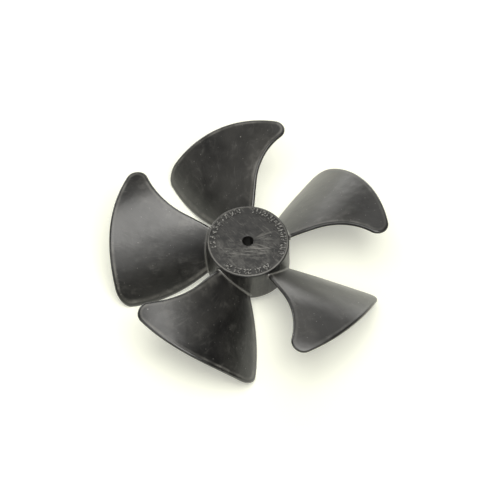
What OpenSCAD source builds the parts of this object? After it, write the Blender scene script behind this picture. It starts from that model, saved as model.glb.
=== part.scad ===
// Moulded axial fan for a small motor: five swept blades and a cup hub, one piece of plastic.
// The shaft bore runs along Z. The closed face of the hub looks up and its open back rim is at Z = 0.
// Each blade is a sheet bent round a tipped cylinder and trimmed to a hatchet outline.

/* [Hub] */
// Diameter of the closed face
hub_face_d = 35.2; // [31:0.1:40]
// Diameter of the open back rim
hub_back_d = 36; // [31:0.1:40]
// Height of the hub along the bore
hub_h = 17.8; // [15:0.1:22]
// Thickness of the skirt
skirt_t = 2; // [1.6:0.1:3]
// Thickness of the face
face_t = 2.4; // [1.6:0.1:4]
// Radius that rounds the rim of the face
face_edge_r = 0.8; // [0.3:0.1:1.4]
// Diameter of the shaft bore
bore_d = 4.76; // [3:0.01:6.4]
// Thickness of the wall round the bore
boss_wall = 3; // [2:0.1:4]
// Number of ribs between the boss and the skirt
rib_count = 5; // [3:1:8]
// Thickness of a rib
rib_t = 1.6; // [1:0.1:2.4]
// How far a rib stands out of the inside of the face
rib_h = 5; // [2:0.1:9]

/* [Blades] */
// Number of blades
blade_count = 5; // [3:1:6]
// Thickness of a blade
blade_t = 1.7; // [1.2:0.1:2.4]
// Radius of the hollow that blends a blade into the hub
root_fillet_r = 1; // [0.4:0.1:1.8]
// Radius reached by the leading tip
tip_r = 60; // [54:0.5:68]
// How much less the trailing tip reaches
tip_drop = 1.2; // [0:0.1:3]

/* [Leading edge] */
// Radius at which the leading edge stops being straight
lead_straight_r = 29.5; // [26:0.5:34]
// Radius of the forward sweep
lead_sweep_r = 32; // [27:0.5:40]
// Radius that rounds the leading tip
lead_corner_r = 5; // [3:0.1:7]

/* [Trailing edge] */
// Angle round the hub from the leading edge to the crown of the trailing edge
trail_angle = 45.5; // [38:0.5:54]
// Radius from the bore at which the trailing edge bows out most
trail_crown_r = 35.5; // [30:0.5:40]
// Radius of the bow
trail_bow_r = 100; // [80:5:200]
// Radius that rounds the trailing tip
trail_corner_r = 6; // [4:0.1:9]

/* [Bend of the blades] */
// Radius of the cylinder that the middle of a blade is bent round
bend_r = 49.5; // [46:0.5:60]
// Angle from the leading edge to the direction of the cylinder, seen along the bore
bend_angle = 42.4; // [36:0.2:48]
// Angle by which the cylinder tips down away from the hub
bend_tip_angle = 6.5; // [2:0.5:10]
// Distance from the bore to the crest of the cylinder
crest_x = 40.8; // [37:0.1:43]
// Height of the crest above the back rim, abreast of the bore
crest_z = 25.9; // [23:0.1:29]

/* [Hidden] */
round_fn = 144;
centre = [0, 0];
edge_r = blade_t / 2;
hub_back_r = hub_back_d / 2;
hub_face_r = hub_face_d / 2;
boss_r = bore_d / 2 + boss_wall;
face_inside_z = hub_h - face_t;
// Steps of the rounded rim of the face
rim_steps = 8;
// Angle by which the skirt leans in towards the face
draft = atan((hub_back_r - hub_face_r) / hub_h);
// The blades start inside the skirt, and their fillets at its middle height
root_r = min(hub_back_r, hub_face_r) - skirt_t / 2;
fillet_start_r = (hub_back_r + hub_face_r) / 2;
// Steps of the hollow fillet, of the free length, of the tip corners and of a rounded edge
fillet_steps = 3;
span_steps = 8;
corner_steps = 5;
edge_steps = 3;
// Steps of a row between its two rounded edges
chord_steps = 10;
columns = 2 * edge_steps + chord_steps;
// A rounded edge that a row crosses at a flat angle is stretched no more than this many times
max_edge_stretch = 2.5;

function unit(v) = v / norm(v);
function polar(r, a) = r * [cos(a), sin(a)];
function angle_of(v) = atan2(v[1], v[0]);
function mix(a, b, f) = a + (b - a) * f;

// Point where two circles meet, to the right of the way from the first centre to the second
function meet(c1, r1, c2, r2) =
    let (
        gap = norm(c2 - c1),
        along = (r1 * r1 - r2 * r2 + gap * gap) / (2 * gap),
        off = sqrt(max(0, r1 * r1 - along * along)),
        e = (c2 - c1) / gap
    )
    c1 + along * e + off * [e[1], -e[0]];

// Plan of one blade. Its leading edge runs out along X, and its trailing edge lies towards Y.
sweep_centre = [lead_straight_r, -edge_r - lead_sweep_r];
lead_corner = meet(sweep_centre, lead_sweep_r + lead_corner_r, centre, tip_r - lead_corner_r);
lead_corner_start = sweep_centre + lead_sweep_r * unit(lead_corner - sweep_centre);
trail_tip_r = tip_r - tip_drop;
bow_centre = polar(trail_crown_r, trail_angle) + polar(trail_bow_r - edge_r, trail_angle - 90);
trail_corner = meet(bow_centre, trail_bow_r - trail_corner_r, centre, trail_tip_r - trail_corner_r);
trail_corner_start = bow_centre + trail_bow_r * unit(trail_corner - bow_centre);
// How far each corner arc turns from the end of its edge to the tip
lead_turn = angle_of(lead_corner) - angle_of(lead_corner_start - lead_corner);
trail_turn = angle_of(trail_corner_start - trail_corner) - angle_of(trail_corner);

// What the root fillet adds on each side of a blade at a radius from the bore
function flare(r) =
    let (x = max(0, min(root_fillet_r, fillet_start_r + root_fillet_r - r)))
    root_fillet_r - sqrt(root_fillet_r * root_fillet_r - x * x);

// Points of the leading and the trailing edge at a radius from the bore, short of the corners
function lead_at(r) =
    let (
        w = edge_r + flare(r),
        x = sqrt(r * r - w * w)
    )
    x < lead_straight_r ? [x, -w] : meet(sweep_centre, lead_sweep_r, centre, r);
function trail_at(r) = meet(bow_centre, trail_bow_r + flare(r), centre, r);
// Points of the two corner arcs, by the angle left to turn before the tip
function lead_round(a) = lead_corner + polar(lead_corner_r, angle_of(lead_corner) - a);
function trail_round(a) = trail_corner + polar(trail_corner_r, angle_of(trail_corner) + a);
// Angle left to turn where a corner arc lies a depth below the tip
function turn_at(depth, r) = acos(1 - depth / r);
// Depth of each step of a rounded edge, as a share of its radius
function edge_share(step) = 1 - cos(90 * step / edge_steps);

// Rows of a blade, from the hub to the tip: the point on the leading and on the trailing edge
fillet_rows = [
    for (i = [0 : fillet_steps])
        let (r = fillet_start_r + root_fillet_r * (1 - cos(90 * i / fillet_steps)))
        [lead_at(r), trail_at(r)]
];
span_rows = [
    for (i = [1 : span_steps])
        let (
            f = i / span_steps,
            r = fillet_start_r + root_fillet_r
        )
        [lead_at(mix(r, norm(lead_corner_start), f)), trail_at(mix(r, norm(trail_corner_start), f))]
];
corner_rows = [
    for (i = [1 : corner_steps])
        let (f = i / corner_steps)
        [
            lead_round(mix(lead_turn, turn_at(edge_r, lead_corner_r), f)),
            trail_round(mix(trail_turn, turn_at(edge_r, trail_corner_r), f))
        ]
];
tip_rows = [
    for (step = [edge_steps - 1 : -1 : 0])
        let (depth = edge_r * edge_share(step))
        [lead_round(turn_at(depth, lead_corner_r)), trail_round(turn_at(depth, trail_corner_r))]
];
rows = concat([[lead_at(root_r), trail_at(root_r)]], fillet_rows, span_rows, corner_rows, tip_rows);
last_row = len(rows) - 1;

// Point on a row, a share of the way from its leading to its trailing end
function across(row, f) =
    polar(mix(norm(row[0]), norm(row[1]), f), mix(angle_of(row[0]), angle_of(row[1]), f));

// Room from a plan point to the rim of the blade
function tip_room(p) =
    let (f = (angle_of(p) - angle_of(lead_corner)) / (angle_of(trail_corner) - angle_of(lead_corner)))
    mix(tip_r, trail_tip_r, max(0, min(1, f))) - norm(p);
function lead_room(p) =
    p[0] < lead_straight_r ? p[1] + edge_r + flare(norm(p))
    : cross(lead_corner - sweep_centre, p - sweep_centre) > 0 ? norm(p - sweep_centre) - lead_sweep_r
    : cross(lead_corner, p) < 0 ? lead_corner_r - norm(p - lead_corner)
    : tip_r;
function trail_room(p) =
    cross(trail_corner - bow_centre, p - bow_centre) > 0 ? trail_bow_r + flare(norm(p)) - norm(p - bow_centre)
    : cross(trail_corner, p) > 0 ? trail_corner_r - norm(p - trail_corner)
    : tip_r;
function room(p) = max(0, min(tip_room(p), lead_room(p), trail_room(p)));

// Half the thickness at a plan point: flat inside, and a round rim
function half_thickness(p) =
    let (
        full = edge_r + flare(norm(p)),
        x = full - min(full, room(p))
    )
    sqrt(full * full - x * x);

// Point on the upper (side 1) or lower (side -1) skin over a plan point.
// It stands off square to a cylinder whose axis lies along bend_angle and tips down outwards.
function skin(p, side) =
    let (
        across_bend = polar(1, bend_angle - 90),
        along_bend = polar(1, bend_angle),
        u = p * across_bend - crest_x,
        q = sqrt(bend_r * bend_r - u * u),
        s = sin(bend_tip_angle),
        c = cos(bend_tip_angle),
        z = crest_z + (q - bend_r - p * along_bend * s) / c,
        level = u / bend_r * across_bend + q / bend_r * s * along_bend,
        off = side * half_thickness(p)
    )
    [p[0] + off * level[0], p[1] + off * level[1], z + off * q / bend_r * c];

// Shares of a row at which its points lie, closer together in the rounded edges
function shares(row, i) =
    let (
        lead_out = i == 0 ? [0, -1] : unit(row[0] - rows[i - 1][0]),
        trail_out = i == 0 ? [0, 1] : unit(row[1] - rows[i - 1][1]),
        chord = unit(row[1] - row[0]),
        full = edge_r + flare(norm(row[0])),
        length = norm(row[1] - row[0]),
        lead_w = full * min(max_edge_stretch, 1 / max(0.01, abs(cross(lead_out, chord)))) / length,
        trail_w = full * min(max_edge_stretch, 1 / max(0.01, abs(cross(trail_out, chord)))) / length
    )
    concat(
        [for (step = [0 : edge_steps - 1]) lead_w * edge_share(step)],
        [for (k = [0 : chord_steps]) mix(lead_w, 1 - trail_w, k / chord_steps)],
        [for (step = [edge_steps - 1 : -1 : 0]) 1 - trail_w * edge_share(step)]
    );

// Every row but the last is a ring: over the upper skin and back under the lower one.
// The last row is the rim of the tip, where the two skins are one.
ring = 2 * columns;
ring_points = [
    for (i = [0 : last_row - 1])
        let (f = shares(rows[i], i))
        for (k = [0 : ring - 1])
            k <= columns ? skin(across(rows[i], f[k]), 1) : skin(across(rows[i], f[ring - k]), -1)
];
rim_points = [for (f = shares(rows[last_row], last_row)) skin(across(rows[last_row], f), 0)];
function at(i, k) = i * ring + k % ring;
function rim(k) = last_row * ring + min(k, ring - k);
ring_faces = [
    for (i = [0 : last_row - 2], k = [0 : ring - 1])
        for (face = [[at(i, k), at(i + 1, k + 1), at(i + 1, k)], [at(i, k), at(i, k + 1), at(i + 1, k + 1)]])
            face
];
rim_faces = [
    for (k = [0 : ring - 1])
        for (face = [
            [at(last_row - 1, k), rim(k + 1), rim(k)],
            [at(last_row - 1, k), at(last_row - 1, k + 1), rim(k + 1)]
        ])
            face
];
root_faces = concat(
    [for (k = [0 : columns - 2]) [at(0, k), at(0, ring - k - 1), at(0, k + 1)]],
    [for (k = [1 : columns - 1]) [at(0, k), at(0, ring - k), at(0, ring - k - 1)]]
);

module blade() {
    polyhedron(concat(ring_points, rim_points), concat(ring_faces, rim_faces, root_faces), convexity = 4);
}

module blades() {
    for (i = [0 : blade_count - 1])
        rotate(i * 360 / blade_count) blade();
}

// Half section of the hub's outside: a leaning skirt and a rounded rim
module hub_outside() {
    rim_x = hub_back_r - (hub_h - face_edge_r) * tan(draft) - face_edge_r / cos(draft);
    rim_centre = [rim_x, hub_h - face_edge_r];
    polygon(concat(
        [centre, [hub_back_r, 0]],
        [for (i = [0 : rim_steps]) rim_centre + polar(face_edge_r, mix(draft, 90, i / rim_steps))],
        [[0, hub_h]]
    ));
}

// Half section of the hollow between the boss and the skirt
module hub_hollow() {
    polygon([
        [boss_r, -1],
        [hub_back_r - skirt_t, -1],
        [hub_back_r - skirt_t, 0],
        [hub_back_r - skirt_t - face_inside_z * tan(draft), face_inside_z],
        [boss_r, face_inside_z]
    ]);
}

module ribs() {
    reach = hub_face_r - skirt_t / 2 - boss_r + boss_wall / 2;
    for (i = [0 : rib_count - 1])
        rotate((i + 0.5) * 360 / rib_count)
            translate([boss_r - boss_wall / 2, -rib_t / 2, face_inside_z - rib_h])
                cube([reach, rib_t, rib_h + face_t / 2]);
}

module hub() {
    difference() {
        union() {
            rotate_extrude($fn = round_fn) difference() {
                hub_outside();
                hub_hollow();
            }
            ribs();
        }
        translate([0, 0, -1]) cylinder(h = hub_h + 2, d = bore_d, $fn = round_fn);
    }
}

module fan_blade() {
    color([0.13, 0.13, 0.14]) union() {
        hub();
        blades();
    }
}

fan_blade();
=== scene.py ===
"""A moulded five-blade fan, standing on its trailing edges on a white table."""

import math

import bmesh
import bpy
from mathutils import Matrix, Vector


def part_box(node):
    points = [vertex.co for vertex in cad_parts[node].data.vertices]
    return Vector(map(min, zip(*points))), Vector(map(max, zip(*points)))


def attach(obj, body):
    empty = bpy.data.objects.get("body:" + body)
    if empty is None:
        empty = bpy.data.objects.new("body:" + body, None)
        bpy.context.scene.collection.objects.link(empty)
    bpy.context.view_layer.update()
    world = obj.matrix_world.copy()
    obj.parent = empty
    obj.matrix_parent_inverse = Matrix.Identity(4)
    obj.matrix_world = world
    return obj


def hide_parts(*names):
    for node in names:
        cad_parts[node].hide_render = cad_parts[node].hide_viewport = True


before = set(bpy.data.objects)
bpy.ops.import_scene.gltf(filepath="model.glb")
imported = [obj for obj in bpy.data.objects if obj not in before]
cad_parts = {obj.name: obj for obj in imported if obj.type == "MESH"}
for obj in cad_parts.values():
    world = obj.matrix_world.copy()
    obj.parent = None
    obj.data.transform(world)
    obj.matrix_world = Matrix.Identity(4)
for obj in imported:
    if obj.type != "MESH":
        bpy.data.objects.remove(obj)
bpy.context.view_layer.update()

MM = 0.001

# The hub, in millimetres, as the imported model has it
FACE_R = 17.6
BACK_R = 18.0
HUB_H = 17.8
SKIRT_T = 2.0
FACE_T = 2.4
FACE_EDGE_R = 0.8
BORE_R = 2.38
BOSS_R = BORE_R + 3.0
RIB_COUNT = 5
RIB_T = 1.6
RIB_H = 5.0
DRAFT = math.atan((BACK_R - FACE_R) / HUB_H)
HUB_STEPS = 180

# The blades
BLADES = 5
EDGE_R = 0.85
ROOT_FILLET_R = 1.0
TIP_R = 60.0
TRAIL_TIP_R = TIP_R - 1.2
LEAD_STRAIGHT_R = 29.5
LEAD_SWEEP_R = 32.0
LEAD_CORNER_R = 5.0
TRAIL_ANGLE = math.radians(45.5)
TRAIL_CROWN_R = 35.5
TRAIL_BOW_R = 100.0
TRAIL_CORNER_R = 6.0
BEND_R = 49.5
BEND_ANGLE = math.radians(42.4)
BEND_TIP_ANGLE = math.radians(6.5)
CREST_X = 40.8
CREST_Z = 25.9

# Rows and columns of a blade's skin
ROOT_R = min(FACE_R, BACK_R) - 1.2
FILLET_START_R = (BACK_R + FACE_R) / 2
FILLET_STEPS = 7
SPAN_STEPS = 40
CORNER_STEPS = 16
EDGE_STEPS = 7
CHORD_STEPS = 36
MAX_EDGE_STRETCH = 2.5


def polar(radius, angle):
    return Vector((radius * math.cos(angle), radius * math.sin(angle)))


def angle_of(v):
    return math.atan2(v.y, v.x)


def mix(a, b, share):
    return a + (b - a) * share


def meet(c1, r1, c2, r2):
    """Where two circles meet, to the right of the way from the first centre to the second."""
    way = c2 - c1
    gap = way.length
    along = (r1 * r1 - r2 * r2 + gap * gap) / (2 * gap)
    off = math.sqrt(max(0.0, r1 * r1 - along * along))
    way.normalize()
    return c1 + along * way + off * Vector((way.y, -way.x))


CENTRE = Vector((0.0, 0.0))
SWEEP_CENTRE = Vector((LEAD_STRAIGHT_R, -EDGE_R - LEAD_SWEEP_R))
LEAD_CORNER = meet(SWEEP_CENTRE, LEAD_SWEEP_R + LEAD_CORNER_R, CENTRE, TIP_R - LEAD_CORNER_R)
LEAD_CORNER_START = SWEEP_CENTRE + LEAD_SWEEP_R * (LEAD_CORNER - SWEEP_CENTRE).normalized()
BOW_CENTRE = polar(TRAIL_CROWN_R, TRAIL_ANGLE) + polar(TRAIL_BOW_R - EDGE_R, TRAIL_ANGLE - math.pi / 2)
TRAIL_CORNER = meet(BOW_CENTRE, TRAIL_BOW_R - TRAIL_CORNER_R, CENTRE, TRAIL_TIP_R - TRAIL_CORNER_R)
TRAIL_CORNER_START = BOW_CENTRE + TRAIL_BOW_R * (TRAIL_CORNER - BOW_CENTRE).normalized()
LEAD_TURN = angle_of(LEAD_CORNER) - angle_of(LEAD_CORNER_START - LEAD_CORNER)
TRAIL_TURN = angle_of(TRAIL_CORNER_START - TRAIL_CORNER) - angle_of(TRAIL_CORNER)


def flare(r):
    """What the hollow fillet at the root adds on each side of a blade."""
    x = max(0.0, min(ROOT_FILLET_R, FILLET_START_R + ROOT_FILLET_R - r))
    return ROOT_FILLET_R - math.sqrt(ROOT_FILLET_R**2 - x * x)


def lead_at(r):
    w = EDGE_R + flare(r)
    x = math.sqrt(r * r - w * w)
    if x < LEAD_STRAIGHT_R:
        return Vector((x, -w))
    return meet(SWEEP_CENTRE, LEAD_SWEEP_R, CENTRE, r)


def trail_at(r):
    return meet(BOW_CENTRE, TRAIL_BOW_R + flare(r), CENTRE, r)


def lead_round(a):
    return LEAD_CORNER + polar(LEAD_CORNER_R, angle_of(LEAD_CORNER) - a)


def trail_round(a):
    return TRAIL_CORNER + polar(TRAIL_CORNER_R, angle_of(TRAIL_CORNER) + a)


def turn_at(depth, r):
    return math.acos(1 - depth / r)


def edge_share(step):
    return 1 - math.cos(math.pi / 2 * step / EDGE_STEPS)


def blade_rows():
    """The leading and the trailing point of each row, from the hub to the tip."""
    rows = [(lead_at(ROOT_R), trail_at(ROOT_R))]
    for i in range(FILLET_STEPS + 1):
        r = FILLET_START_R + ROOT_FILLET_R * edge_share(EDGE_STEPS * i / FILLET_STEPS)
        rows.append((lead_at(r), trail_at(r)))
    start = FILLET_START_R + ROOT_FILLET_R
    for i in range(1, SPAN_STEPS + 1):
        f = i / SPAN_STEPS
        rows.append((
            lead_at(mix(start, LEAD_CORNER_START.length, f)),
            trail_at(mix(start, TRAIL_CORNER_START.length, f)),
        ))
    for i in range(1, CORNER_STEPS + 1):
        f = i / CORNER_STEPS
        rows.append((
            lead_round(mix(LEAD_TURN, turn_at(EDGE_R, LEAD_CORNER_R), f)),
            trail_round(mix(TRAIL_TURN, turn_at(EDGE_R, TRAIL_CORNER_R), f)),
        ))
    for step in range(EDGE_STEPS - 1, -1, -1):
        depth = EDGE_R * edge_share(step)
        rows.append((
            lead_round(turn_at(depth, LEAD_CORNER_R)),
            trail_round(turn_at(depth, TRAIL_CORNER_R)),
        ))
    return rows


def row_shares(rows, i):
    """Shares of a row at which its points lie, closer together in the rounded edges."""
    lead, trail = rows[i]
    chord = trail - lead
    length = chord.length
    chord = chord.normalized()
    full = EDGE_R + flare(lead.length)
    widths = []
    for k, way in ((0, Vector((0, -1))), (1, Vector((0, 1)))):
        out = way if i == 0 else (rows[i][k] - rows[i - 1][k]).normalized()
        stretch = 1 / max(0.01, abs(out.cross(chord)))
        widths.append(full * min(MAX_EDGE_STRETCH, stretch) / length)
    lead_w, trail_w = widths
    shares = [lead_w * edge_share(s) for s in range(EDGE_STEPS)]
    shares += [mix(lead_w, 1 - trail_w, k / CHORD_STEPS) for k in range(CHORD_STEPS + 1)]
    shares += [1 - trail_w * edge_share(s) for s in range(EDGE_STEPS - 1, -1, -1)]
    return shares


def tip_room(p):
    span = angle_of(TRAIL_CORNER) - angle_of(LEAD_CORNER)
    f = (angle_of(p) - angle_of(LEAD_CORNER)) / span
    return mix(TIP_R, TRAIL_TIP_R, max(0.0, min(1.0, f))) - p.length


def lead_room(p):
    if p.x < LEAD_STRAIGHT_R:
        return p.y + EDGE_R + flare(p.length)
    if (LEAD_CORNER - SWEEP_CENTRE).cross(p - SWEEP_CENTRE) > 0:
        return (p - SWEEP_CENTRE).length - LEAD_SWEEP_R
    if LEAD_CORNER.cross(p) < 0:
        return LEAD_CORNER_R - (p - LEAD_CORNER).length
    return TIP_R


def trail_room(p):
    if (TRAIL_CORNER - BOW_CENTRE).cross(p - BOW_CENTRE) > 0:
        return TRAIL_BOW_R + flare(p.length) - (p - BOW_CENTRE).length
    if TRAIL_CORNER.cross(p) > 0:
        return TRAIL_CORNER_R - (p - TRAIL_CORNER).length
    return TIP_R


def room(p):
    return max(0.0, min(tip_room(p), lead_room(p), trail_room(p)))


def half_thickness(p):
    full = EDGE_R + flare(p.length)
    x = full - min(full, room(p))
    return math.sqrt(full * full - x * x)


ACROSS_BEND = polar(1, BEND_ANGLE - math.pi / 2)
ALONG_BEND = polar(1, BEND_ANGLE)


def skin(p, side, half):
    """Point on the upper or lower skin over a plan point, square to the bent middle of the blade."""
    u = p.dot(ACROSS_BEND) - CREST_X
    q = math.sqrt(BEND_R**2 - u * u)
    s, c = math.sin(BEND_TIP_ANGLE), math.cos(BEND_TIP_ANGLE)
    z = CREST_Z + (q - BEND_R - p.dot(ALONG_BEND) * s) / c
    level = u / BEND_R * ACROSS_BEND + q / BEND_R * s * ALONG_BEND
    off = side * half
    return Vector((p.x + off * level.x, p.y + off * level.y, z + off * q / BEND_R * c))


def add_blades(bm, rim, leaf):
    """Five blades, each of two grids laid on the skins and merged round the rim."""
    rows = blade_rows()
    last = len(rows) - 1
    columns = CHORD_STEPS + 2 * EDGE_STEPS
    places = []
    for i, (lead, trail) in enumerate(rows):
        for k, share in enumerate(row_shares(rows, i)):
            r = mix(lead.length, trail.length, share)
            p = polar(r, mix(angle_of(lead), angle_of(trail), share))
            on_rim = i in (0, last) or k in (0, columns)
            places.append((p, share, 0.0 if on_rim else half_thickness(p)))
    for blade in range(BLADES):
        turn = Matrix.Rotation(2 * math.pi * blade / BLADES, 4, "Z")
        verts = []
        for side in (1, -1):
            grid = bmesh.ops.create_grid(bm, x_segments=columns, y_segments=last, size=1)
            for v, (p, share, half) in zip(grid["verts"], places, strict=True):
                v.co = turn @ skin(p, side, half) * MM
                v[rim] = room(p)
                v[leaf] = (share, p.length / TIP_R, blade / BLADES)
            if side > 0:
                faces = list({f for v in grid["verts"] for f in v.link_faces})
                bmesh.ops.reverse_faces(bm, faces=faces)
            verts += grid["verts"]
        bmesh.ops.remove_doubles(bm, verts=verts, dist=1e-7)


def arc(centre, radius, start, end, steps):
    """Points of an arc, with its angles in degrees."""
    return [centre + polar(radius, math.radians(mix(start, end, i / steps))) for i in range(steps + 1)]


def hub_profile():
    """Half section of the hub: bore, face, rounded rim, leaning skirt, back rim, hollow and boss."""
    bore_edge = 0.25
    back_edge = 0.3
    inner_fillet = 0.8
    slope = math.tan(DRAFT)
    draft_deg = math.degrees(DRAFT)
    rim_x = BACK_R - (HUB_H - FACE_EDGE_R) * slope - FACE_EDGE_R / math.cos(DRAFT)
    ceiling = HUB_H - FACE_T
    inner_x = BACK_R - SKIRT_T - ceiling * slope
    points = [Vector((BORE_R, bore_edge))]
    points += [Vector((BORE_R, mix(bore_edge, HUB_H - bore_edge, i / 6))) for i in range(1, 6)]
    points += arc(Vector((BORE_R + bore_edge, HUB_H - bore_edge)), bore_edge, 180, 90, 3)
    points += [Vector((mix(BORE_R + bore_edge, rim_x, i / 16), HUB_H)) for i in range(1, 16)]
    points += arc(Vector((rim_x, HUB_H - FACE_EDGE_R)), FACE_EDGE_R, 90, draft_deg, 8)
    skirt_top = HUB_H - FACE_EDGE_R
    levels = [mix(skirt_top, back_edge, i / 10) for i in range(1, 10)]
    points += [Vector((BACK_R - z * slope, z)) for z in levels]
    points += arc(Vector((BACK_R - back_edge, back_edge)), back_edge, 0, -90, 4)
    points += arc(Vector((BACK_R - SKIRT_T + back_edge, back_edge)), back_edge, -90, -180, 4)
    points += arc(Vector((inner_x - inner_fillet, ceiling - inner_fillet)), inner_fillet, 0, 90, 5)
    points += arc(Vector((BOSS_R + inner_fillet, ceiling - inner_fillet)), inner_fillet, 90, 180, 5)
    points += arc(Vector((BOSS_R - back_edge, back_edge)), back_edge, 0, -90, 4)
    points += arc(Vector((BORE_R + bore_edge, bore_edge)), bore_edge, -90, -150, 2)
    return points


def add_hub(bm):
    verts = [bm.verts.new((p.x * MM, 0, p.y * MM)) for p in hub_profile()]
    edges = [bm.edges.new((a, b)) for a, b in zip(verts, verts[1:] + verts[:1], strict=True)]
    bmesh.ops.spin(
        bm, geom=verts + edges, cent=(0, 0, 0), axis=(0, 0, 1), angle=2 * math.pi,
        steps=HUB_STEPS, use_merge=True, use_duplicate=False,
    )
    ceiling = HUB_H - FACE_T
    outer = FACE_R - SKIRT_T / 2
    inner = BOSS_R - 1.0
    for i in range(RIB_COUNT):
        rib = bmesh.ops.create_cube(bm, size=1)["verts"]
        size = Matrix.Diagonal(((outer - inner) * MM, RIB_T * MM, (RIB_H + FACE_T / 2) * MM, 1))
        place = Matrix.Translation(Vector(((inner + outer) / 2, 0, ceiling + FACE_T / 4 - RIB_H / 2)) * MM)
        turn = Matrix.Rotation(2 * math.pi * (i + 0.5) / RIB_COUNT, 4, "Z")
        bmesh.ops.transform(bm, matrix=turn @ place @ size, verts=rib)
        edges = list({e for v in rib for e in v.link_edges})
        bmesh.ops.bevel(
            bm, geom=edges, offset=0.25 * MM, affect="EDGES", segments=2, profile=0.5, material=-1,
        )


def soften(bm, sharp_deg=38):
    """Smooth faces, with a sharp edge only where two faces turn a real corner."""
    for face in bm.faces:
        face.smooth = True
    for edge in bm.edges:
        if edge.is_manifold and edge.calc_face_angle(0) > math.radians(sharp_deg):
            edge.smooth = False


def finish_piece(bm, name, materials):
    mesh = bpy.data.meshes.new(name)
    bm.to_mesh(mesh)
    bm.free()
    for material in materials:
        mesh.materials.append(material)
    piece = bpy.data.objects.new(name, mesh)
    bpy.context.scene.collection.objects.link(piece)
    return piece


class Socket:
    """A node's output that takes part in Python expressions."""

    def __init__(self, sheet, link):
        self.sheet = sheet
        self.link = link

    def _math(self, operation, *values):
        return self.sheet.node("ShaderNodeMath", {"operation": operation}, *values)

    def __add__(self, other):
        return self._math("ADD", self, other)

    __radd__ = __add__

    def __sub__(self, other):
        return self._math("SUBTRACT", self, other)

    def __rsub__(self, other):
        return self._math("SUBTRACT", other, self)

    def __mul__(self, other):
        return self._math("MULTIPLY", self, other)

    __rmul__ = __mul__

    def __pow__(self, other):
        return self._math("POWER", self, other)

    def beside(self, name):
        """Another output of the same node."""
        return Socket(self.sheet, self.link.node.outputs[name])

    def between(self, start, full, fading, gone):
        """1 between full and fading, falling to 0 at start and gone."""
        return self.above(start, full) * (1 - self.above(fading, gone))

    def above(self, low, high):
        """0 below low and 1 above high, with a smooth step between."""
        return self.sheet.node(
            "ShaderNodeMapRange", {"interpolation_type": "SMOOTHSTEP"},
            Value=self, **{"From Min": low, "From Max": high},
        )


class Sheet:
    """The node sheet of a material or of the world."""

    def __init__(self, holder, shader="Principled BSDF"):
        holder.use_nodes = True
        self.holder = holder
        self.tree = holder.node_tree
        self.shader = self.tree.nodes[shader]

    def node(self, kind, settings=None, *values, out=0, **named):
        node = self.tree.nodes.new(kind)
        for key, value in (settings or {}).items():
            setattr(node, key, value)
        for key, value in list(enumerate(values)) + list(named.items()):
            self.plug(node.inputs[key], value)
        return Socket(self, node.outputs[out])

    def plug(self, target, value):
        if isinstance(value, Socket):
            self.tree.links.new(value.link, target)
        else:
            target.default_value = value

    def set(self, **values):
        for key, value in values.items():
            self.plug(self.shader.inputs[key.replace("_", " ")], value)

    def place(self):
        return self.node("ShaderNodeTexCoord", out=3)

    def noise(self, scale, detail=2.0, rough=0.5, vector=None, distortion=0.0):
        return self.node(
            "ShaderNodeTexNoise", None,
            Vector=vector or self.place(), Scale=scale, Detail=detail, Roughness=rough, Distortion=distortion,
        )

    def number(self, layer):
        """A number kept on the vertices."""
        return self.node("ShaderNodeAttribute", {"attribute_name": layer}, out=2)

    def parts(self, vector):
        return [self.node("ShaderNodeSeparateXYZ", None, vector, out=i) for i in range(3)]

    def vector(self, x, y, z):
        return self.node("ShaderNodeCombineXYZ", None, x, y, z)

    def specks(self, per_m, radius, share):
        """Dots of a radius in cells, in a share of the cells."""
        near = self.node("ShaderNodeTexVoronoi", None, Vector=self.place(), Scale=per_m)
        luck = self.node("ShaderNodeSeparateColor", None, near.beside("Color"))
        return (1 - near.above(radius * 0.5, radius)) * luck.above(1 - share, 1 - share * 0.6)

    def blend(self, share, low, high):
        """Between two colours."""
        return self.node("ShaderNodeMix", {"data_type": "RGBA"}, out="Result", Factor=share, A=low, B=high)


# Colours of the plastic, from the untouched black to the dust on it; the scratch grey also paints the
# highlights on the rims and root fillets
BLACK = (0.0060, 0.0058, 0.0056, 1)
SOOT = (0.0180, 0.0173, 0.0162, 1)
RUBBED = (0.085, 0.082, 0.075, 1)
SCRATCH_AND_HIGHLIGHT_GREY = (0.17, 0.165, 0.15, 1)
CHIP_AND_HIGHLIGHT_GREY = (0.27, 0.265, 0.245, 1)
DUST = (0.40, 0.39, 0.36, 1)
BLADE_GLOSS = 0.82
HUB_GLOSS = 0.6

# Depth of the blades' slight waves and of the face's scuffs
WAVE_H = 0.3
SCUFF_H = 0.12

# How much each blade is worn, from the one along +X onwards
BLADE_WEAR = (0.55, 0.8, 1.0, 0.9, 0.5)


def dusty(sheet, colour):
    """A colour with dust specks of two sizes on it."""
    fine = sheet.specks(900, 0.20, 0.12)
    coarse = sheet.specks(250, 0.085, 0.12)
    colour = sheet.blend(fine * 0.4, colour, DUST)
    return sheet.blend(coarse * 0.6, colour, DUST)


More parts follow.
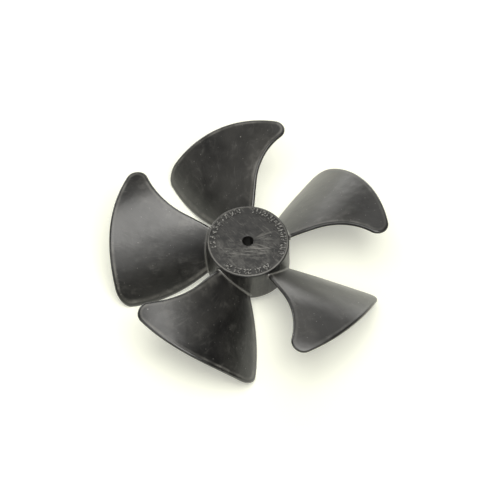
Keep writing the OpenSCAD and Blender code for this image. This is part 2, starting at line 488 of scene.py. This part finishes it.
def blade_plastic():
    """Black plastic, cloudy and worn, lighter just inside the rim with wear and a painted highlight, with a
    painted highlight along the root fillet and fine scratches along each blade.
    """
    sheet = Sheet(bpy.data.materials.new("black_plastic_blades"))
    across, along, blade = sheet.parts(sheet.node("ShaderNodeAttribute", {"attribute_name": "leaf"}, out=1))
    rim = sheet.number("rim")
    wear = 0
    for i, amount in enumerate(BLADE_WEAR):
        here = sheet.node("ShaderNodeMath", {"operation": "COMPARE"}, blade, i / BLADES, 0.05)
        wear = wear + here * amount
    cloud = sheet.noise(55, 4, 0.55)
    patch = sheet.noise(130, 3, 0.6).above(0.42, 0.68)
    drift = sheet.noise(70, 2, 0.5)
    brushed = sheet.noise(1, 3, 0.65, vector=sheet.vector(across * 62 + drift * 7, along * 7, blade * 40))
    cross = sheet.noise(1, 3, 0.65, vector=sheet.vector(across * 7, along * 85 + drift * 12, blade * 23))
    scratches = brushed.above(0.54, 0.68) * 0.6 + cross.above(0.6, 0.72) * 0.4
    # A light strip just inside the rounded rim: edge wear and a painted rim highlight
    rim_wear_and_highlight = rim.between(0.85, 1.2, 1.4, 2.4) * (0.3 + 0.7 * patch)
    # Painted highlight: a thin light line along each blade's root fillet
    root = along.between(0.30, 0.303, 0.307, 0.318)
    smear = sheet.noise(210, 4, 0.65, distortion=0.6).above(0.48, 0.66)
    colour = sheet.blend(cloud.above(0.36, 0.64), BLACK, SOOT)
    lead = across.between(0.01, 0.04, 0.11, 0.26) * along.between(0.31, 0.38, 0.75, 0.98)
    haze = sheet.noise(24, 3, 0.5).above(0.5, 0.7)
    colour = sheet.blend(wear * smear * (0.05 + 0.35 * patch), colour, RUBBED)
    colour = sheet.blend(lead * (0.35 + 0.65 * smear) * wear * 0.8, colour, RUBBED)
    colour = sheet.blend(haze * 0.3 * wear, colour, RUBBED)
    colour = sheet.blend(wear * scratches * (0.2 + 0.8 * patch) * 0.8, colour, RUBBED)
    colour = sheet.blend(rim_wear_and_highlight * 0.8 * wear, colour, SCRATCH_AND_HIGHLIGHT_GREY)
    # The painted highlight along the root fillet
    colour = sheet.blend(root * 0.7, colour, SCRATCH_AND_HIGHLIGHT_GREY)
    waves = sheet.noise(75, 3, 0.5)
    grain = sheet.noise(1500, 2)
    height = waves + brushed * 0.03 * wear + grain * 0.012
    sheet.set(
        Base_Color=dusty(sheet, colour),
        Roughness=0.31 - 0.06 * wear + 0.11 * cloud + 0.10 * rim_wear_and_highlight + 0.05 * patch,
        Specular_IOR_Level=BLADE_GLOSS,
        Normal=sheet.node("ShaderNodeBump", None, Strength=1.0, Distance=WAVE_H * MM, Height=height),
    )
    return sheet.holder


# Where the camera stands, from +X, and the way it looks over the floor, which the face's marks run across
CAMERA_AZIMUTH = math.radians(-102.22)
VIEW_TURN = CAMERA_AZIMUTH + math.pi


def hub_plastic():
    """The same plastic, scuffed on the face: streaks below the bore and rays beside it, the face mottled
    lighter towards the camera, and a painted highlight along the rounded rim, stronger towards the camera.
    """
    sheet = Sheet(bpy.data.materials.new("black_plastic_hub"))
    turned = sheet.node(
        "ShaderNodeMapping", None,
        Vector=sheet.place(), Rotation=(0, 0, math.pi / 2 - VIEW_TURN), Scale=(1000, 1000, 1000),
    )
    right, away, height = sheet.parts(turned)
    radius = (right * right + away * away) ** 0.5
    angle = sheet.node("ShaderNodeMath", {"operation": "ARCTAN2"}, away, right)
    face = height.above(HUB_H - 0.12, HUB_H - 0.04)
    cloud = sheet.noise(110, 4, 0.6)
    mottle = sheet.noise(420, 3, 0.65)
    sway = sheet.noise(180, 2, 0.5)
    streak = sheet.noise(1, 4, 0.6, vector=sheet.vector(right * 0.13, away * 1.3 + sway * 2.4, 3))
    slope = sheet.vector(right * 0.9 + away * 0.9, away * 0.18 - right * 0.12 + sway, 8)
    slant = sheet.noise(1, 3, 0.6, vector=slope)
    rays = sheet.noise(1, 3, 0.55, vector=sheet.vector(angle * 8, radius * 0.09, 5))
    below = away.between(-9.5, -5, -3, -1.2) * right.between(-12, -6, 5, 13)
    beside = right.between(2, 4.5, 9, 14) * away.between(-7, -2, 3, 7)
    marks = streak.above(0.5, 0.64) * (0.05 + 0.95 * below) + rays.above(0.5, 0.62) * beside * 0.6
    marks = marks + slant.above(0.54, 0.66) * (0.1 + 0.5 * mottle)
    # Painted highlight: a light line on the face's rounded rim, stronger on the side towards the camera
    rim = radius.between(16.45, 16.75, 16.95, 17.25) * height.above(HUB_H - 0.5, HUB_H - 0.2)
    # Share that grows towards the camera: it lightens the face's mottling and strengthens the rim's painted
    # highlight
    toward_camera = away.above(4, -3) * 0.5 + 0.25
    skirt = sheet.noise(1, 2, 0.5, vector=sheet.vector(angle * 9, height * 0.05, 0))
    wall = (1 - face) * skirt.above(0.45, 0.7) * (1 - height.above(HUB_H - 1.2, HUB_H - 0.8))
    # Lighter patches on the raised numbers: chips and a painted highlight on the glyphs
    raised = height.above(HUB_H + 0.03, HUB_H + 0.08)
    chips_and_highlight = sheet.noise(1100, 2, 0.6).above(0.44, 0.6)
    ring = radius.between(13.2, 13.9, 16.1, 16.7)
    colour = sheet.blend(cloud.above(0.3, 0.7), BLACK, SOOT)
    colour = sheet.blend(face * toward_camera * mottle.above(0.38, 0.62) * (1 - ring * 0.6) * 0.75, colour, RUBBED)
    colour = sheet.blend(face * marks * 0.8, colour, SCRATCH_AND_HIGHLIGHT_GREY)
    colour = sheet.blend(rim * (0.25 + 0.75 * toward_camera), colour, SCRATCH_AND_HIGHLIGHT_GREY)
    colour = sheet.blend(wall * 0.5, colour, RUBBED)
    colour = sheet.blend(raised * chips_and_highlight * 0.9, colour, CHIP_AND_HIGHLIGHT_GREY)
    bump = mottle * 0.6 + marks * 0.35 + cloud * 1.2
    sheet.set(
        Base_Color=dusty(sheet, colour),
        Roughness=0.36 + 0.12 * cloud + 0.12 * face * mottle,
        Specular_IOR_Level=HUB_GLOSS,
        Normal=sheet.node("ShaderNodeBump", None, Strength=0.9, Distance=SCUFF_H * MM, Height=bump),
    )
    return sheet.holder


# Plain raised numbers round the face, as on a dial: first number, last number, start and end in degrees
# from the right of the view
NUMBER_ARCS = ((1, 10, 192, 108), (11, 19, 78, -20), (20, 24, -58, -124))
NUMBER_R = 15.0
NUMBER_SIZE = 3.3
NUMBER_H = 0.6
NUMBER_BOLD = 0.07


def add_numbers(bm):
    for first, last, start, end in NUMBER_ARCS:
        for number in range(first, last + 1):
            words = bpy.data.curves.new("number", "FONT")
            words.body = str(number)
            words.align_x = "CENTER"
            words.align_y = "CENTER"
            words.size = NUMBER_SIZE * MM
            words.extrude = NUMBER_H / 2 * MM
            words.bevel_depth = 0.04 * MM
            words.offset = NUMBER_BOLD * MM
            words.resolution_u = 3
            holder = bpy.data.objects.new("number", words)
            bpy.context.scene.collection.objects.link(holder)
            ready = holder.evaluated_get(bpy.context.evaluated_depsgraph_get())
            mesh = bpy.data.meshes.new_from_object(ready)
            turn = math.radians(mix(start, end, (number - first) / (last - first))) + VIEW_TURN - math.pi
            place = Matrix.Rotation(turn, 4, "Z") @ Matrix.Translation(Vector((0, NUMBER_R, HUB_H)) * MM)
            mesh.transform(place)
            bm.from_mesh(mesh)
            bpy.data.objects.remove(holder)
            bpy.data.curves.remove(words)
            bpy.data.meshes.remove(mesh)


# The fan stands on its trailing edges
FLOOR_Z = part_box("fan_blade")[0].z


def build_fan():
    bm = bmesh.new()
    rim = bm.verts.layers.float.new("rim")
    leaf = bm.verts.layers.float_vector.new("leaf")
    add_hub(bm)
    add_numbers(bm)
    hub_faces = len(bm.faces)
    add_blades(bm, rim, leaf)
    bm.faces.ensure_lookup_table()
    for face in bm.faces[:hub_faces]:
        face.material_index = 1
    for v in bm.verts:
        v.co.z = max(v.co.z, FLOOR_Z)
    soften(bm)
    return finish_piece(bm, "moulded_fan", [blade_plastic(), hub_plastic()])


fan = build_fan()
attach(fan, "root")
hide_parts("fan_blade")


TABLE_HALF = 1.5


def build_floor():
    bm = bmesh.new()
    grid = bmesh.ops.create_grid(bm, x_segments=8, y_segments=8, size=TABLE_HALF)
    bmesh.ops.translate(bm, verts=grid["verts"], vec=(0, 0, FLOOR_Z))
    sheet = Sheet(bpy.data.materials.new("white_table"))
    sheet.set(Base_Color=(0.80, 0.81, 0.69, 1), Roughness=0.6)
    seen = sheet.node("ShaderNodeLightPath")
    away = sheet.node("ShaderNodeVectorMath", {"operation": "LENGTH"}, sheet.place(), out="Value")
    white = 0.3 + 0.7 * away.above(0.2, 0.9)
    glow = seen * white + seen.beside("Is Glossy Ray") * 0.5
    sheet.set(Emission_Color=(1, 1, 0.93, 1), Emission_Strength=glow)
    return finish_piece(bm, "table", [sheet.holder])


build_floor()

# The camera, as it stood for the photograph
IMAGE_PX = 500
SENSOR_MM = 36.0
CAMERA_DISTANCE = 793.5 * MM
CAMERA_ELEVATION = math.radians(59.8)
CAMERA_ROLL = math.radians(-0.215)
AIM_Z = 9 * MM
PX_PER_MM = 2.331
OBJECT_LEFT_PX = 2.0
OBJECT_DOWN_PX = 1.3


def skywards(turn, rise):
    """The direction at an angle round from +X and an angle above the floor."""
    level = polar(math.cos(rise), turn)
    return Vector((level.x, level.y, math.sin(rise)))


def build_camera():
    out = skywards(CAMERA_AZIMUTH, CAMERA_ELEVATION)
    right = Vector((-math.sin(CAMERA_AZIMUTH), math.cos(CAMERA_AZIMUTH), 0))
    up = out.cross(right)
    right_rolled = right * math.cos(CAMERA_ROLL) + up * math.sin(CAMERA_ROLL)
    up_rolled = up * math.cos(CAMERA_ROLL) - right * math.sin(CAMERA_ROLL)
    data = bpy.data.cameras.new("camera")
    data.sensor_width = SENSOR_MM
    data.lens = SENSOR_MM * PX_PER_MM * CAMERA_DISTANCE / MM / IMAGE_PX
    data.shift_x = OBJECT_LEFT_PX / IMAGE_PX
    data.shift_y = OBJECT_DOWN_PX / IMAGE_PX
    data.clip_start = 0.01
    camera = bpy.data.objects.new("camera", data)
    place = Matrix((right_rolled, up_rolled, out)).transposed().to_4x4()
    place.translation = Vector((0, 0, AIM_Z)) + out * CAMERA_DISTANCE
    camera.matrix_world = place
    bpy.context.scene.collection.objects.link(camera)
    bpy.context.scene.camera = camera


build_camera()

LIGHT_DISTANCE = 1.0
LIGHT_COLOUR = (1, 0.99, 0.955)


def softbox(name, bearing_deg, height_deg, width, depth, power):
    """A soft light by its bearing over the floor, 0 away from the camera and 90 at its right."""
    data = bpy.data.lights.new(name, "AREA")
    data.shape = "ELLIPSE"
    data.size = width
    data.size_y = depth
    data.energy = power
    data.color = LIGHT_COLOUR
    way = skywards(VIEW_TURN - math.radians(bearing_deg), math.radians(height_deg))
    light = bpy.data.objects.new(name, data)
    light.location = way * LIGHT_DISTANCE
    light.rotation_euler = way.to_track_quat("Z", "Y").to_euler()
    bpy.context.scene.collection.objects.link(light)


softbox("softbox_above", 150, 85, 0.85, 0.85, 7.6)
softbox("softbox_right", 140, 62, 0.5, 0.5, 2.4)
softbox("softbox_behind_camera", 185, 45, 0.45, 0.45, 0.8)
softbox("softbox_left", 240, 32, 0.5, 0.5, 1.2)
softbox("panel_far", 20, 43, 0.6, 0.45, 0.6)
softbox("window_far", 8, 8, 1.2, 0.4, 4.4)
softbox("window_far_left", 314, 8, 0.6, 0.45, 5.2)


def build_room():
    """A dim room that shows as a white backdrop."""
    sheet = Sheet(bpy.data.worlds.new("room"), "Background")
    seen = sheet.node("ShaderNodeLightPath")
    sheet.set(Color=(1, 1, 0.985, 1), Strength=0.05 + 0.95 * seen)
    bpy.context.scene.world = sheet.holder


build_room()
bpy.context.scene.view_settings.view_transform = "Standard"
